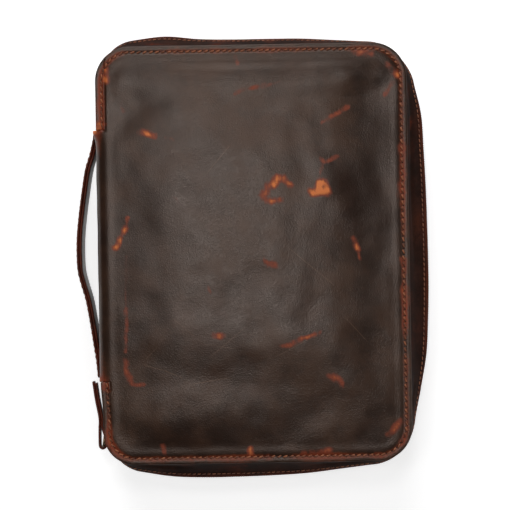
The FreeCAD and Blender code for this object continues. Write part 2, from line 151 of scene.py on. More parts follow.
class Finish:
    """A material while it is being mixed. The named values go straight on the shader's sockets."""

    def __init__(self, name, **shader):
        self.material = bpy.data.materials.new(name)
        self.material.use_nodes = True
        self.tree = self.material.node_tree
        self.shader = self.tree.nodes["Principled BSDF"]
        for socket, value in shader.items():
            self.shader.inputs[socket.replace("_", " ")].default_value = value

    def node(self, kind, settings=None, values=None, output=0):
        made = self.tree.nodes.new(kind)
        for name, value in (settings or {}).items():
            setattr(made, name, value)
        for key, value in (values or {}).items():
            self.feed(made.inputs[key], value)
        return Level(self, made.outputs[output])

    def feed(self, socket, value):
        if isinstance(value, Level):
            self.tree.links.new(value.socket, socket)
        else:
            socket.default_value = value

    def vector_maths(self, operation, first, second, output=0):
        return self.node("ShaderNodeVectorMath", {"operation": operation}, {0: first, 1: second}, output)

    def put(self, **sockets):
        for socket, value in sockets.items():
            self.feed(self.shader.inputs[socket.replace("_", " ")], value)

    def colour(self, under, over, share):
        """Over laid on under; share is how much of over shows."""
        return self.node("ShaderNodeMix", {"data_type": "RGBA"}, {0: share, 6: under, 7: over}, output=2)

    def place(self):
        """Where a point of the piece lay when it was made, which bending doesn't change."""
        return self.node("ShaderNodeAttribute", {"attribute_name": "place"}, output=1)

    def fixed_place(self):
        """The same for a piece that never bends, which keeps its own coordinates."""
        return self.node("ShaderNodeTexCoord", output=3)

    def mark(self, name):
        return self.node("ShaderNodeAttribute", {"attribute_name": name}, output=2)

    def speckle(self, place, scale, detail=3.0, roughness=0.55):
        return self.node("ShaderNodeTexNoise", None,
                         {"Vector": place, "Scale": scale, "Detail": detail, "Roughness": roughness})

    def waves(self, place, direction, scale):
        return self.node("ShaderNodeTexWave", {"bands_direction": direction},
                         {"Vector": place, "Scale": scale})

    def cells(self, place, scale):
        """Distance to the nearest edge between small cells, as in leather's pores."""
        return self.node("ShaderNodeTexVoronoi", {"feature": "DISTANCE_TO_EDGE"},
                         {"Vector": place, "Scale": scale})

    def stretched(self, place, scale, turn=0.0):
        return self.node("ShaderNodeMapping", None,
                         {"Vector": place, "Scale": scale, "Rotation": (0.0, 0.0, turn)})

    def relief(self, height, strength, distance, under=None):
        values = {"Height": height, "Strength": strength, "Distance": distance}
        if under is not None:
            values["Normal"] = under
        return self.node("ShaderNodeBump", None, values)


def shade(red, green, blue):
    return (red, green, blue, 1.0)


def waxed_hide(name, dark, warm, rubbed, bare, gloss=0.45, grain=1.0, shine=0.45, scratches=()):
    """Pull-up leather. Pieces carry two marks, wear and scuff, that say where the wax is rubbed."""
    hide = Finish(name, Specular_IOR_Level=shine, Specular_Tint=shade(1.0, 0.84, 0.75))
    place = hide.place()
    cloud = hide.speckle(place, 17.0, 5.0, 0.62)
    patch = hide.speckle(place, 62.0, 4.0, 0.6)
    fleck = hide.speckle(place, 420.0, 3.0, 0.65)
    pores = hide.cells(place, 760.0 * grain)
    fibre = hide.speckle(hide.stretched(place, (1.0, 0.16, 1.0), 0.5), 900.0, 2.0)
    brushed = hide.speckle(hide.stretched(place, (1.0, 0.09, 1.0), -0.9), 260.0, 3.0)

    tone = hide.colour(dark, warm, (cloud * 0.75 + patch * 0.35).step(0.42, 0.72))
    tone = hide.colour(tone, shade(0.010, 0.006, 0.004), (patch * 0.6 + fleck * 0.4).step(0.56, 0.40) * 0.35)
    wear, scuff = hide.mark("wear"), hide.mark("scuff")
    worn = (wear + ((patch - 0.5) * 0.9 + (fleck - 0.5) * 0.6) * wear.step(0.0, 0.3)).step(0.22, 0.95) * 0.9
    tone = hide.colour(tone, rubbed, worn)
    ragged = (fleck - 0.5) * 0.5 + (brushed - 0.5) * 0.7 + (patch - 0.5) * 0.5
    struck = scuff + ragged * scuff.step(0.0, 0.4)
    scraped = shade(rubbed[0] * 1.15, rubbed[1] * 0.95, rubbed[2] * 0.9)
    tone = hide.colour(tone, scraped, struck.step(0.10, 0.62) * 0.85)
    tone = hide.colour(tone, bare, struck.step(0.50, 1.05))
    struck = struck.step(0.1, 0.8)
    scored = None
    for start, end, width in scratches:
        line = scratch(hide, place, start, end, width) * (brushed * 0.7 + fleck * 0.5).step(0.36, 0.62)
        scored = line if scored is None else scored.larger(line)
    if scored is not None:
        tone = hide.colour(tone, shade(0.13, 0.075, 0.048), scored * 0.45)
    dull = gloss + (cloud - 0.5) * 0.16 + (patch - 0.5) * 0.10 + worn * 0.12 + struck * 0.22
    skin = hide.relief(pores.step(0.0, 0.32), 0.28 * grain, 0.00012)
    skin = hide.relief(fleck * 0.6 + fibre * 0.4, 0.35, 0.00016, skin)
    skin = hide.relief(patch, 0.22, 0.0008, skin)
    hide.put(Base_Color=tone, Roughness=dull, Normal=skin)
    return hide.material


def scratch(hide, place, start, end, width):
    """1 along a thin straight line between two places on a panel in mm, fading to 0 at its width."""
    start, end, width = (start[0] * MM, start[1] * MM), (end[0] * MM, end[1] * MM), width * MM
    run_x, run_y = end[0] - start[0], end[1] - start[1]
    length = math.hypot(run_x, run_y)
    ahead = (run_x / length, run_y / length, 0.0)
    across = (-ahead[1], ahead[0], 0.0)
    offset = hide.vector_maths("SUBTRACT", place, (start[0], start[1], 0.0))
    along = hide.vector_maths("DOT_PRODUCT", offset, ahead, output=1)
    aside = hide.vector_maths("DOT_PRODUCT", offset, across, output=1)
    aside = hide.node("ShaderNodeMath", {"operation": "ABSOLUTE"}, {0: aside})
    ends = along.step(0.0, length * 0.15) * along.step(length, length * 0.85)
    return ends * aside.step(width, width * 0.2)


# Thin scratches in the front panel, in mm: where each starts and ends, and its width.
thin_scratches = [
    ((-72, -69), (-58, -73), 0.45), ((-59, -72.5), (-46, -78), 0.45), ((-41, -82), (-15, -78), 0.45),
    ((-70, -66), (-62, -58), 0.35), ((-30, -66), (-2, -43), 0.35), ((-36, -56), (-12, -60), 0.3),
    ((12, -66), (41, -51), 0.4), ((-30, 50), (-12, 71), 0.35), ((20, 5), (52, -22), 0.35),
    ((-52, -40), (-38, -52), 0.3), ((56, -40), (72, -58), 0.3),
]
case_hide = waxed_hide(
    "case_hide", dark=shade(0.019, 0.0080, 0.0048), warm=shade(0.042, 0.0185, 0.0095),
    rubbed=shade(0.185, 0.034, 0.011), bare=shade(0.66, 0.18, 0.042), gloss=0.335, scratches=thin_scratches)
gusset_hide = waxed_hide(
    "gusset_hide", dark=shade(0.014, 0.0058, 0.0042), warm=shade(0.036, 0.0135, 0.0088),
    rubbed=shade(0.095, 0.022, 0.010), bare=shade(0.30, 0.070, 0.022), gloss=0.56, grain=0.9, shine=0.03)

# ---- Back and front covers, with the spine between them ---------------------------------------
# Each cover is a panel with the half of the spine strip next to it, rolled over at the fold. The
# seam's thread pulls a shallow groove into the leather near its edge, the margin outside it
# is burnished, and the book inside pushes the panel up into soft swells.
seam_inset = 3.9 * MM
stitch_pitch = 3.9 * MM
margin_rows = [0, 0.25, 0.6, 1.0, 1.5, 2.1, 2.7, 3.2, 3.6, 3.9, 4.2, 4.6, 5.2, 6.0]
cover_insets = [row * MM for row in margin_rows] + [(7.4 + 1.4 * i) * MM for i in range(10)]
panel_rows = 46  # from the last inset to the middle of the panel
halves = (("front", True), ("back", False))
rolled_length = fold_r * math.pi / 2 + mid_z - fold_r
line_step = 1.45 * MM
middle_half = 33 * line_step  # half the length of the line in the middle where the rings close

# The swells and hollows that the book and use have given the panels: (x, y, height in mm, reach
# along, reach across, direction in degrees).
swells = [
    (0.005, 0.1130, 1.7, 0.120, 0.0115, 1.5),
    (0.040, 0.0930, -2.0, 0.075, 0.0120, 10),
    (-0.075, 0.0930, -1.1, 0.028, 0.0130, 30),
    (-0.005, 0.0200, 1.2, 0.060, 0.060, 20),
    (0.072, 0.0300, -0.9, 0.022, 0.070, 4),
    (-0.040, -0.045, 0.7, 0.040, 0.030, 50),
    (0.010, -0.0880, -1.1, 0.080, 0.0200, -8),
    (-0.050, -0.1060, 0.9, 0.030, 0.012, 0),
    (0.046, 0.0420, 0.6, 0.012, 0.010, 0),
    (0.030, 0.0480, -0.4, 0.010, 0.012, 0),
]

# Rubs and knocks in mm: the points of a stroke over the front panel, its width and its strength.
knocks = [
    ([(-9, 102), (0, 104.5), (8, 107)], 1.6, 0.34),
    ([(2, 104), (18, 108.5)], 1.2, 0.26),
    ([(-70, 78), (-66, 77.4)], 2.4, 0.85),
    ([(-65, 77), (-60, 75.5)], 2.0, 0.62),
    ([(-60, 75), (-50, 73.5)], 1.3, 0.28),
    ([(17, 33.5), (10, 32.5), (6, 36), (9, 42)], 2.6, 0.50),
    ([(9, 42), (14, 47), (20, 47.5), (24, 43)], 2.4, 0.56),
    ([(14, 43), (16, 48)], 2.0, 0.80),
    ([(38, 38), (47, 38), (45, 43)], 2.6, 0.78),
    ([(42, 40), (43.5, 45)], 2.8, 1.15),
    ([(45, 56), (43, 50)], 1.2, 0.30),
    ([(44, 60), (46, 57), (53, 61)], 1.5, 0.46),
    ([(46, 82), (53, 87.5), (61, 92)], 1.7, 0.40),
    ([(85, 100), (90, 107)], 1.8, 0.32),
    ([(-49, 36), (-47, 33)], 1.5, 0.30),
    ([(-88, 5), (-84.5, 11), (-81.5, 18)], 1.8, 0.70),
    ([(-81.5, 18), (-79, 24)], 1.3, 0.46),
    ([(-96, 15), (-95.6, 16)], 1.4, 0.80),
    ([(63.5, 8), (66, 1)], 1.8, 0.62),
    ([(66, 1), (67.5, -5)], 1.3, 0.40),
    ([(7, -5), (13, -8)], 2.2, 0.50),
    ([(17, -59), (24, -57.5), (30, -55)], 1.6, 0.40),
    ([(24, -57), (33, -53.5), (40, -51)], 1.9, 0.60),
    ([(50, -79), (54, -83)], 2.6, 0.52),
    ([(46, -78), (49, -80)], 1.6, 0.34),
    ([(-25, -51), (-21, -51.5)], 2.4, 0.46),
    ([(-29, -21), (-27, -25)], 1.5, 0.30),
    ([(-81, 0), (-82, -34)], 1.1, 0.26),
    ([(-81.5, -34), (-82, -60)], 1.5, 0.42),
    ([(-82.5, -66), (-81.5, -74), (-79, -80)], 1.9, 0.50),
    ([(-79, -81), (-70, -82)], 1.4, 0.42),
    ([(-83, 97), (-81, 91)], 1.8, 0.30),
    ([(95, 62), (95, 66)], 2.6, 0.36),
    ([(94, 36), (95, 44)], 2.6, 0.44),
    ([(95, -5), (95, -13)], 2.0, 0.42),
    ([(95, -22), (94, -31)], 2.0, 0.40),
    ([(-93.5, 112), (-92, 117)], 3.2, 0.74),
    ([(66, 127.5), (76, 126)], 2.4, 0.44),
    ([(88, 118), (93, 112)], 2.6, 0.42),
    ([(-10, 126), (-9, 121)], 1.6, 0.34),
    ([(-97, -77), (-96, -84)], 3.4, 0.42),
    ([(-98.5, 78), (-96, 83)], 3.2, 0.70),
    ([(-60, -121), (-59, -125)], 1.6, 0.46),
    ([(-5, -124), (-4, -128)], 2.0, 0.50),
    ([(30, -127), (46, -126)], 2.2, 0.46),
    ([(84, -116), (92, -108)], 2.4, 0.40),
]


def away(x, y, start, end):
    """Distance in mm from a place in mm to the line between two others."""
    run_x, run_y = end[0] - start[0], end[1] - start[1]
    share = ((x - start[0]) * run_x + (y - start[1]) * run_y) / (run_x * run_x + run_y * run_y)
    share = min(max(share, 0.0), 1.0)
    return math.hypot(x - start[0] - run_x * share, y - start[1] - run_y * share)


noise.seed_set(5)  # so that the strokes wander the same way every time


def scuffing(x, y):
    """How hard the panel is rubbed at a place, from 0 to about 1."""
    wander = noise.noise_vector(Vector((x * 140, y * 140, 5.0))) * 1.1
    x, y, struck = x / MM + wander.x, y / MM + wander.y, 0.0
    patchy = 0.95 + 0.7 * noise.noise(Vector((x * 0.22, y * 0.22, 9.0)))
    for line, width, strength in knocks:
        distance = min(away(x, y, start, end) for start, end in zip(line, line[1:]))
        if distance < 2.2 * width:
            struck = max(struck, 1.22 * strength * patchy * hump(distance, 1.1 * width))
    return struck


def lie(x, y, inset, run):
    """How high the panel's outer face stands above the flat, for a place inset from the edge."""
    high = 0.0
    for sx, sy, rise, along, across, degrees in swells:
        turn = math.radians(degrees)
        ahead = (x - sx) * math.cos(turn) + (y - sy) * math.sin(turn)
        aside = (y - sy) * math.cos(turn) - (x - sx) * math.sin(turn)
        high += rise * hump(ahead, along) * hump(aside, across)
    ripple = 0.9 * noise.noise(Vector((x * 26, y * 26, 3.1)))
    ripple += 0.35 * noise.noise(Vector((x * 75, y * 75, 7.7)))
    high += ripple
    high *= smooth((inset - seam_inset) / (14 * MM))
    side, end = half_w - abs(x) - seam_inset, half_h - abs(y) - seam_inset
    high += 3.3 * smooth(side / (48 * MM)) * smooth(end / (44 * MM))
    high += 0.4 * smooth((inset - seam_inset) / (12 * MM))
    if inset < 30 * MM:
        pucker = 0.5 + 0.5 * math.cos(2 * math.pi * run / stitch_pitch)
        high -= (0.42 + 0.16 * pucker) * hump(inset - seam_inset, 0.9 * MM)
        high += 0.30 * hump(inset - seam_inset - 3.4 * MM, 2.6 * MM)
        high += 0.10 * noise.noise(Vector((run * 90, inset * 200, 1.0))) * smooth(1 - inset / (9 * MM))
        high -= 0.32 * max(0.0, 1 - inset / (0.9 * MM)) ** 2
    return high * MM


def drawn_in(x, y):
    """How far the seam's edge is pulled towards the middle at the tail corner by the spine."""
    return 1.8 * MM * hump(y + 0.106, 0.018) * smooth((half_w + x) / (-40 * MM) + 1.0)


def spread(x, y, inset):
    """The panel as sewn isn't quite as cut: its tail corner by the spine is drawn in."""
    return x + drawn_in(x, y) * smooth(1 - inset / (30 * MM)), y


def rolled(y, share):
    """A place round the fold and down the spine; share is 0 where the fold starts, 1 at mid spine."""
    walked = share * rolled_length
    turn = min(walked / fold_r, math.pi / 2)
    down = max(0.0, walked - fold_r * math.pi / 2)
    x = -half_w + fold_r - fold_r * math.sin(turn)
    z = depth - fold_r + fold_r * math.cos(turn) - down
    outward = Vector((-math.sin(turn), 0.0, math.cos(turn)))
    bulge = 1.2 * MM * smooth(share * 1.6) * smooth((spine_half - abs(y)) / (12 * MM) + 0.35)
    flare = 2.4 * MM * hump(spine_half - y, 5 * MM) + 0.9 * MM * hump(spine_half + y, 4 * MM)
    crease = 0.35 * MM * noise.noise(Vector((y * 60, walked * 60, 5.0))) * smooth(share * 3)
    return Vector((x, y, z)) + outward * (bulge + flare * smooth(share * 3) + crease)


def make_piece(name, points, faces, material, marks=None):
    """A mesh piece whose points remember where they were made, with its wear marks."""
    mesh = bpy.data.meshes.new(name)
    mesh.from_pydata([tuple(p) for p in points], [], faces)
    mesh.update()
    place = mesh.attributes.new("place", "FLOAT_VECTOR", "POINT")
    place.data.foreach_set("vector", [c for p in points for c in p])
    for label, values in (marks or {}).items():
        mesh.attributes.new(label, "FLOAT", "POINT").data.foreach_set("value", values)
    mesh.polygons.foreach_set("use_smooth", [True] * len(mesh.polygons))
    mesh.materials.append(material)
    piece = bpy.data.objects.new(name, mesh)
    bpy.context.scene.collection.objects.link(piece)
    return piece


def add(piece, kind, **settings):
    """A modifier, applied at once so that the mesh is final."""
    modifier = piece.modifiers.new(kind.title(), kind)
    for name, value in settings.items():
        setattr(modifier, name, value)
    bpy.context.view_layer.objects.active = piece
    with bpy.context.temp_override(object=piece, active_object=piece):
        bpy.ops.object.modifier_apply(modifier=modifier.name)
    return piece


def cover_columns():
    """The cover's edge, round its sewn sides and then along the fold beside the spine."""
    columns = [(x, y, out_x, out_y, run, False) for x, y, out_x, out_y, run in cutting_line(line_step)]
    count = round(2 * spine_half / line_step)
    for i in range(count + 1):
        y = -spine_half + 2 * spine_half * i / count
        columns.append((-half_w, y, -1.0, 0.0, 0.0, True))
    return columns


def inward(x, y, out_x, out_y):
    """(x, y, inset) of the places between one point of the edge and the middle of the panel."""
    places = [(x - out_x * inset, y - out_y * inset, inset) for inset in cover_insets]
    from_x, from_y, inset = places[-1]
    middle_y = min(max(round(from_y / line_step) * line_step, -middle_half), middle_half)
    for row in range(panel_rows):
        share = (row + 1) / panel_rows
        px, py = from_x * (1 - share), from_y + (middle_y - from_y) * share
        places.append((px, py, min(half_w - abs(px), half_h - abs(py))))
    return places


def on_fold(y, inset):
    """A place on the leather rolled down to the spine, with its wear and its scuff."""
    share = 1 - inset / fold_r
    patchy = 0.5 + 1.2 * noise.noise(Vector((y * 22, 2.0, 7.0)))
    rub = 0.40 * patchy * hump(share - 0.2, 0.2) + 0.35 * hump(spine_half - abs(y), 6 * MM)
    mark = max(1.0 * hump(spine_half - y, 3.5 * MM), 0.9 * hump(spine_half + y, 4 * MM))
    return rolled(y, share), rub, mark * smooth(share * 4)


def on_panel(x, y, inset, run, on_spine):
    """A place on the flat of the cover, with its wear and its scuff. Only the sewn sides have a seam."""
    from_edge = inset
    if on_spine:
        unsewn = smooth((spine_half - abs(y)) / (9 * MM))
        from_edge += unsewn * max(0.0, seam_inset + 22 * MM * smooth(inset / (28 * MM)) - inset)
    high = lie(x, y, from_edge, run)
    sx, sy = spread(x, y, inset)
    rub, mark = 0.0, scuffing(x, y)
    if not on_spine:
        low = 1.0 + 0.25 * (y < -0.11) + 0.15 * (x < -0.08)
        patchy = 0.5 + 1.1 * noise.noise(Vector((run * 34, 4.0, 8.0)))
        aside = abs(inset - seam_inset + 0.3 * MM)
        rub = 0.35 * patchy * hump(inset, 0.9 * MM) + (0.34 + 0.70 * patchy) * hump(aside, 2.3 * MM)
        rub = low * rub
        patchy = noise.noise(Vector((run * 21, 7.0, 3.0)))
        patchy += 0.5 * noise.noise(Vector((run * 75, 1.0, 3.0)))
        mark = max(mark, 0.62 * smooth(patchy * 1.8) * hump(aside, 2.6 * MM))
    return Vector((sx, sy, depth + high)), rub, mark


def cover(name, front):
    """One cover's leather, as rings of points from its edge to the middle of its panel."""
    columns = cover_columns()
    points, wear, scuff = [], [], []
    for x, y, out_x, out_y, run, on_spine in columns:
        for px, py, inset in inward(x, y, out_x, out_y):
            if on_spine and inset < fold_r:
                point, rub, mark = on_fold(py, inset)
            else:
                point, rub, mark = on_panel(px, py, inset, run, on_spine)
            if not front:
                point.z = max(0.0, depth - point.z)
            points.append(point)
            wear.append(rub)
            scuff.append(mark if front else mark * 0.4)
    rows = len(cover_insets) + panel_rows
    faces = []
    for column in range(len(columns)):
        after = (column + 1) % len(columns)
        slit = columns[column][5] != columns[after][5]
        for row in range(rows - 1):
            if slit and row < len(margin_rows) - 1:
                continue
            here, there = column * rows + row, after * rows + row
            corners = [here, there, there + 1, here + 1]
            faces.append(corners[::-1] if front else corners)
    piece = make_piece(name, points, faces, case_hide, {"wear": wear, "scuff": scuff})
    close_gaps(piece)
    return piece


def close_gaps(piece):
    """Joins points that coincide."""
    work = bmesh.new()
    work.from_mesh(piece.data)
    bmesh.ops.remove_doubles(work, verts=work.verts, dist=0.00002)
    work.to_mesh(piece.data)
    work.free()


def cut_off(piece, name, belongs):
    """Moves the faces that belong to a part of their own into a new piece of the same leather."""
    other = piece.copy()
    other.data = piece.data.copy()
    other.name = other.data.name = name
    bpy.context.scene.collection.objects.link(other)
    for thing, keep in ((piece, False), (other, True)):
        work = bmesh.new()
        work.from_mesh(thing.data)
        gone = [face for face in work.faces if belongs(face.calc_center_median()) != keep]
        bmesh.ops.delete(work, geom=gone, context="FACES")
        work.to_mesh(thing.data)
        work.free()
    return other


def beside_spine(centre):
    return centre.x < -half_w + fold_r and abs(centre.y) > spine_half - 0.01 * MM


for name, front in halves:
    leather = cover(name + "_cover_leather", front)
    ears = cut_off(leather, name + "_cover_ears", beside_spine)
    for piece in (leather, ears):
        add(piece, "SOLIDIFY", thickness=hide_thickness, offset=-1.0)
    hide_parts(name + "_panel", "spine_panel")
    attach(ears, name + "_half")
    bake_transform(leather)

# ---- Gusset -----------------------------------------------------------------------------------
# A strip of thinner leather, 1.4 mm, runs round three sides of each panel and a little way along
# the spine. One edge is sewn flat under the panel, the other is turned and sewn to the zip. It is
# skived soft, so it bellies out over the book and crumples at the corners.
gusset_thickness = 1.4 * MM
seam_in = 1.0 * MM
flange = 9.0 * MM
lip_z = 18.5 * MM
return_lean = -4.0
knee_lean = 0.32  # how much of the stand-out the wall has reached at its knee
knee_z = 10 * MM
knee_t = 0.45
zip_seam_t = 0.86

# How far the zip edge stands out from the panel's edge, in mm, evenly along each stretch of it.
bulge_lists = [
    (corner_y - spine_half, [return_lean, return_lean, return_lean]),
    (corner_r * math.pi / 2, [return_lean, -1.0, 3.5, 6.5]),
    (2 * corner_x, [6.5, 8.8, 6.8, 6.2, 6.2, 6.0, 4.7, 3.4]),
    (corner_r * math.pi / 2, [3.4, 2.6, 3.0, 6.3]),
    (2 * corner_y, [6.3, 11.0, 12.2, 13.1, 13.6, 13.9, 13.9, 13.2, 11.8, 7.9, 3.6]),
    (corner_r * math.pi / 2, [3.6, 2.6, 3.2, 4.8]),
    (2 * corner_x, [4.8, 7.2, 9.7, 10.8, 11.3, 11.4, 10.4, 6.8]),
    (corner_r * math.pi / 2, [6.8, 2.8, -0.8, return_lean]),
    (corner_y - spine_half, [return_lean, return_lean, return_lean]),
]
bulge_knots = []
walked = 0.0
for length, bulges in bulge_lists:
    for i, value in enumerate(bulges[:-1]):
        bulge_knots.append((walked + length * i / (len(bulges) - 1), value * MM))
    walked += length
bulge_knots.append((walked, return_lean * MM))
edge_length = walked


def bulge(run):
    """The zip edge's stand-out at a distance along the edge, on a smooth curve through the knots."""
    k = 0
    while k < len(bulge_knots) - 2 and bulge_knots[k + 1][0] < run:
        k += 1
    (r0, v0), (r1, v1) = bulge_knots[k], bulge_knots[k + 1]
    before = bulge_knots[max(k - 1, 0)][1]
    after = bulge_knots[min(k + 2, len(bulge_knots) - 1)][1]
    t = min(max((run - r0) / (r1 - r0), 0.0), 1.0)
    rise0, rise1 = (v1 - before) / 2, (after - v0) / 2
    return ((2 * t ** 3 - 3 * t ** 2 + 1) * v0 + (t ** 3 - 2 * t ** 2 + t) * rise0
            + (3 * t ** 2 - 2 * t ** 3) * v1 + (t ** 3 - t ** 2) * rise1)


def wall(out, t):
    """The gusset wall's section, from the seam (t 0) to the zip edge (t 1): (outward, height)."""
    seam, lip = (-seam_in, hide_thickness), (out, lip_z)
    knee = (-seam_in + knee_lean * (out + seam_in), knee_z)
    by_seam, by_pull, by_lip = (1 - knee_t) ** 2, 2 * knee_t * (1 - knee_t), knee_t ** 2
    pull = [(knee[i] - by_seam * seam[i] - by_lip * lip[i]) / by_pull for i in (0, 1)]
    return tuple((1 - t) ** 2 * seam[i] + 2 * t * (1 - t) * pull[i] + t * t * lip[i] for i in (0, 1))


def wall_out(out, t):
    """The outward side of the wall at t, as (outward, height)."""
    low, high = wall(out, max(t - 0.02, 0.0)), wall(out, min(t + 0.02, 1.0))
    run = math.hypot(high[0] - low[0], high[1] - low[1])
    return (high[1] - low[1]) / run, -(high[0] - low[0]) / run


def crumple(run, t):
    """Soft folds in the gusset leather, deeper at the corners and none at its two sewn edges."""
    deep = 0.35
    walked = 0.0
    for length, bulges in bulge_lists:
        if len(bulges) == 4:
            deep += 0.65 * hump(run - walked - length / 2, length * 0.6)
        walked += length
    folds = noise.noise(Vector((run * 55, t * 1.6, 2.0)))
    folds += 0.5 * noise.noise(Vector((run * 130, t * 2.5, 9.0)))
    drift = 0.50 + 0.16 * noise.noise(Vector((run * 14, 3.0, 6.0)))
    crease = 0.9 * hump(t - drift, 0.09) * smooth(0.6 + 2.2 * noise.noise(Vector((run * 11, 8.0, 1.0))))
    unsewn = math.sin(math.pi * min(t * 1.08, 1.0)) ** 0.8
    return (deep * folds - crease - 0.8 * hump(t - 0.13, 0.075)) * unsewn * MM


def on_gusset(place, t, lift=0.0):
    x, y, out_x, out_y, run = place
    out = bulge(run)
    (u, z), (nu, nz) = wall(out, t), wall_out(out, t)
    rise = crumple(run, t) + lift
    u, z = u + nu * rise, z + nz * rise
    return Vector((x + out_x * u + drawn_in(x, y) * (1 - t) ** 1.5, y + out_y * u, z))


def flipped(points, front):
    """The same places on the front half, which mirrors the back half about the zip."""
    return [Vector((p[0], p[1], depth - p[2])) if front else Vector(p) for p in points]


def strip_faces(columns, rows, front):
    """Faces of a net of columns x rows points. The front half's net is mirrored, so it turns over."""
    faces = []
    for column in range(columns - 1):
        for row in range(rows - 1):
            here, there = column * rows + row, (column + 1) * rows + row
            corners = [here, here + 1, there + 1, there]
            faces.append(corners[::-1] if front else corners)
    return faces


gusset_rows = 15


def gusset(name, front):
    points, wear, scuff = [], [], []
    line = cutting_line(1.6 * MM)
    for place in line:
        x, y, out_x, out_y, run = place
        for u in (-flange, -flange / 2, -2.2 * MM):
            points.append(Vector((x + out_x * u + drawn_in(x, y), y + out_y * u, hide_thickness)))
            wear.append(0.0)
            scuff.append(0.0)
        for row in range(gusset_rows + 1):
            t = row / gusset_rows
            points.append(on_gusset(place, t))
            low_side = 0.25 * (y < -half_h + 0.03)
            wear.append((0.5 + low_side) * hump(t, 0.10) + 0.75 * hump(t - 1, 0.07) + 0.22
                        + 0.3 * max(0.0, noise.noise(Vector((run * 40, t * 2, 4.0)))))
            scuff.append(0.55 * max(0.0, noise.noise(Vector((run * 70, t * 3, 12.0))) - 0.18))
    faces = strip_faces(len(line), gusset_rows + 4, front)
    piece = make_piece(name, flipped(points, front), faces, gusset_hide, {"wear": wear, "scuff": scuff})
    return add(piece, "SOLIDIFY", thickness=gusset_thickness, offset=-1.0)


for name, front in halves:
    piece = gusset(name + "_gusset_leather", front)
    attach(piece, name + "_half")
    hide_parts(name + "_gusset")

# ---- Saddle stitching -------------------------------------------------------------------------
# Waxed linen thread, sewn by hand with two needles through slanted awl holes. Each stitch leans
# a little across the seam and dives into the hole it shares with the next one.
thread = Finish("waxed_linen", Roughness=0.55, Specular_IOR_Level=0.4)
twist = thread.waves(thread.place(), "DIAGONAL", 900.0)
soiled = thread.speckle(thread.place(), 210.0, 3.0)
thread_tone = thread.colour(shade(0.33, 0.115, 0.050), shade(0.115, 0.036, 0.018), soiled.step(0.40, 0.64))
thread.put(Base_Color=thread_tone, Normal=thread.relief(twist, 0.5, 0.00012))
# The dark of each awl hole is painted shade: a near-black disc laid over the hole's opening.
awl_shade_paint = Finish("awl_hole_painted_shade", Base_Color=shade(0.006, 0.003, 0.002), Roughness=0.9).material


def spaced(points, pitch):
    """Evenly spaced (place, direction) pairs along a line of points."""
    found, left = [], pitch / 2
    for a, b in zip(points, points[1:]):
        run = (b - a).length
        while left <= run and run > 0:
            found.append((a.lerp(b, left / run), (b - a).normalized()))
            left += pitch
        left -= run
    return found


def sleeve(start, rings, sides, turned=False):
    """Faces of a closed tube of rings with a cap on each end; turned where its rings run clockwise."""
    faces = []
    for ring in range(rings - 1):
        for k in range(sides):
            a, b = start + ring * sides + k, start + ring * sides + (k + 1) % sides
            faces.append([b, a, a + sides, b + sides] if turned else [a, b, b + sides, a + sides])
    first = [start + k for k in range(sides)]
    last = [start + (rings - 1) * sides + k for k in range(sides)]
    return faces + ([first, last[::-1]] if turned else [first[::-1], last])


def saddle_stitches(name, seam, out, pitch, thick, slant=25, hole=0.85 * MM):
    """A seam's thread, with a near-black disc of painted shade over each awl hole. seam is a line of points
    and out(place) its outward side.
    """
    points, faces, holes, shade_disc_faces = [], [], [], []
    profile = [(-0.50, 0.15, -0.55), (-0.40, 0.75, 0.15), (-0.16, 1.0, 0.62), (0.16, 1.0, 0.62),
               (0.40, 0.75, 0.15), (0.50, 0.15, -0.55)]
    reach = pitch * 0.86
    thread_sides, hole_sides = 7, 8
    for centre, ahead in spaced(seam, pitch):
        normal = out(centre)
        ahead = (ahead - normal * ahead.dot(normal)).normalized()
        lean = Matrix.Rotation(math.radians(slant + random.uniform(-4, 4)), 3, normal)
        ahead = lean @ ahead
        across = normal.cross(ahead)
        start = len(points)
        for along, girth, lift in profile:
            middle = centre + ahead * (along * reach) + normal * (lift * thick)
            for k in range(thread_sides):
                turn = 2 * math.pi * k / thread_sides
                points.append(middle + (across * math.cos(turn) + normal * math.sin(turn)) * thick * girth)
        faces += sleeve(start, len(profile), thread_sides)
        # Painted shade: a near-black disc over the awl hole at each end of the stitch.
        for end in (-1, 1):
            middle = centre + ahead * (end * reach * 0.53) + normal * (0.05 * MM)
            start = len(holes)
            slit = (ahead + across * 0.9 * end).normalized()
            aside = normal.cross(slit)
            for k in range(hole_sides):
                turn = 2 * math.pi * k / hole_sides
                holes.append(middle + slit * (math.cos(turn) * hole) + aside * (math.sin(turn) * hole * 0.55))
            holes.append(middle - normal * hole * 0.6)
            shade_disc_faces.append([start + k for k in range(hole_sides)])
            shade_disc_faces += [[start + (k + 1) % hole_sides, start + k, start + hole_sides]
                           for k in range(hole_sides)]
    sewn = make_piece(name, points, faces, thread.material)
    hole_shade_discs = make_piece(name + "_holes", holes, shade_disc_faces, awl_shade_paint)
    return sewn, hole_shade_discs


def panel_seam(front):
    seam = []
    for x, y, out_x, out_y, run in cutting_line(1.3 * MM)[1:-1]:
        px, py = x - out_x * seam_inset, y - out_y * seam_inset
        high = lie(px, py, seam_inset, run) + 0.16 * MM
        px, py = spread(px, py, seam_inset)
        seam.append(Vector((px, py, depth + high if front else max(0.0, -high) - 0.02 * MM)))
    return seam


def zip_seam(front):
    line = cutting_line(1.3 * MM)[1:-1]
    return flipped([on_gusset(place, zip_seam_t, -0.12 * MM) for place in line], front)


def gusset_side(front):
    """The outward side of the gusset near the zip seam, looked up by place."""
    line = cutting_line(4 * MM)
    sides = []
    for x, y, out_x, out_y, run in line:
        nu, nz = wall_out(bulge(run), zip_seam_t)
        sides.append((x, y, Vector((out_x * nu, out_y * nu, -nz if front else nz))))

    def look_up(place):
        return min(sides, key=lambda side: (side[0] - place.x) ** 2 + (side[1] - place.y) ** 2)[2]

    return look_up


